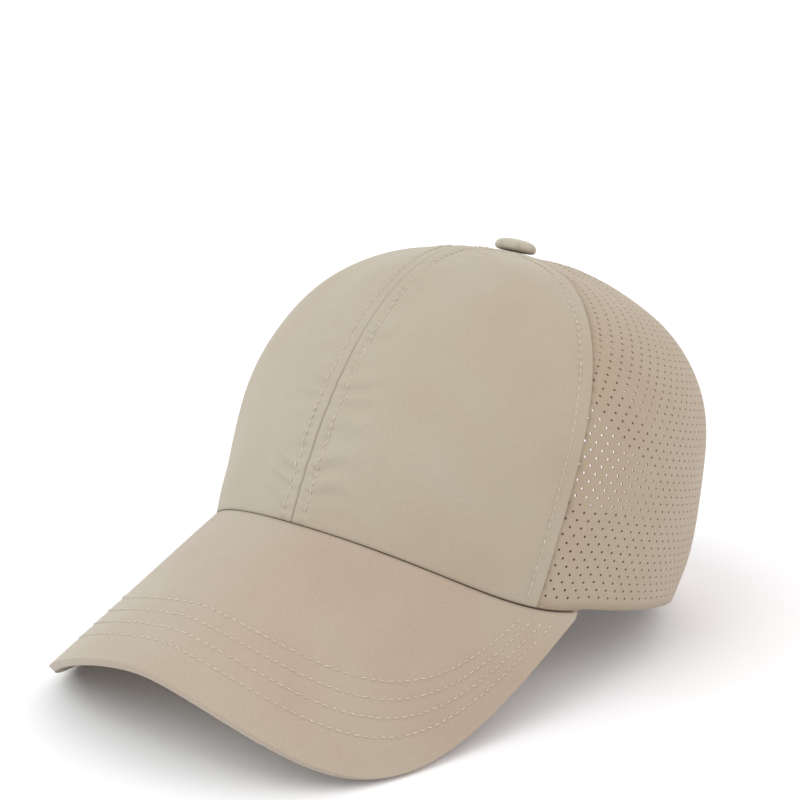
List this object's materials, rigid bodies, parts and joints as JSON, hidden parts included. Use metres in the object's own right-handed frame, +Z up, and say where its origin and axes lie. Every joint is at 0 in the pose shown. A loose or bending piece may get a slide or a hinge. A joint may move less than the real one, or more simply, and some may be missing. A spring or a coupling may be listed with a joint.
{
  "type": "ponytail baseball cap",
  "caption": "Soft baseball cap with a curved brim, perforated side panels and a teardrop opening at the back crossed by straps, for a ponytail or bun.",
  "frame": {"origin": "on the floor under the middle of the resting cap, at the bottom centre of its box", "axes": "+X to the wearer's left, +Y to the back of the cap, +Z up from the floor that it rests on; the front of the brim faces -Y"},
  "size_m": [0.167, 0.2694, 0.1415],
  "materials": {
    "crown_cloth": "matte woven polyester",
    "perforated_cloth": "matte woven polyester with rows of small punched holes",
    "brim_cloth": "matte woven polyester over a stiff board",
    "strap_cloth": "matte folded cloth band"
  },
  "bodies": {
    "root": {"front_panel_left": "crown_cloth", "front_panel_right": "crown_cloth", "side_panel_left": "perforated_cloth", "side_panel_right": "perforated_cloth", "button": "crown_cloth", "brim": "brim_cloth", "cross_strap_outer": "strap_cloth", "cross_strap_inner": "strap_cloth", "back_strap": "strap_cloth"}
  },
  "joints": []
}
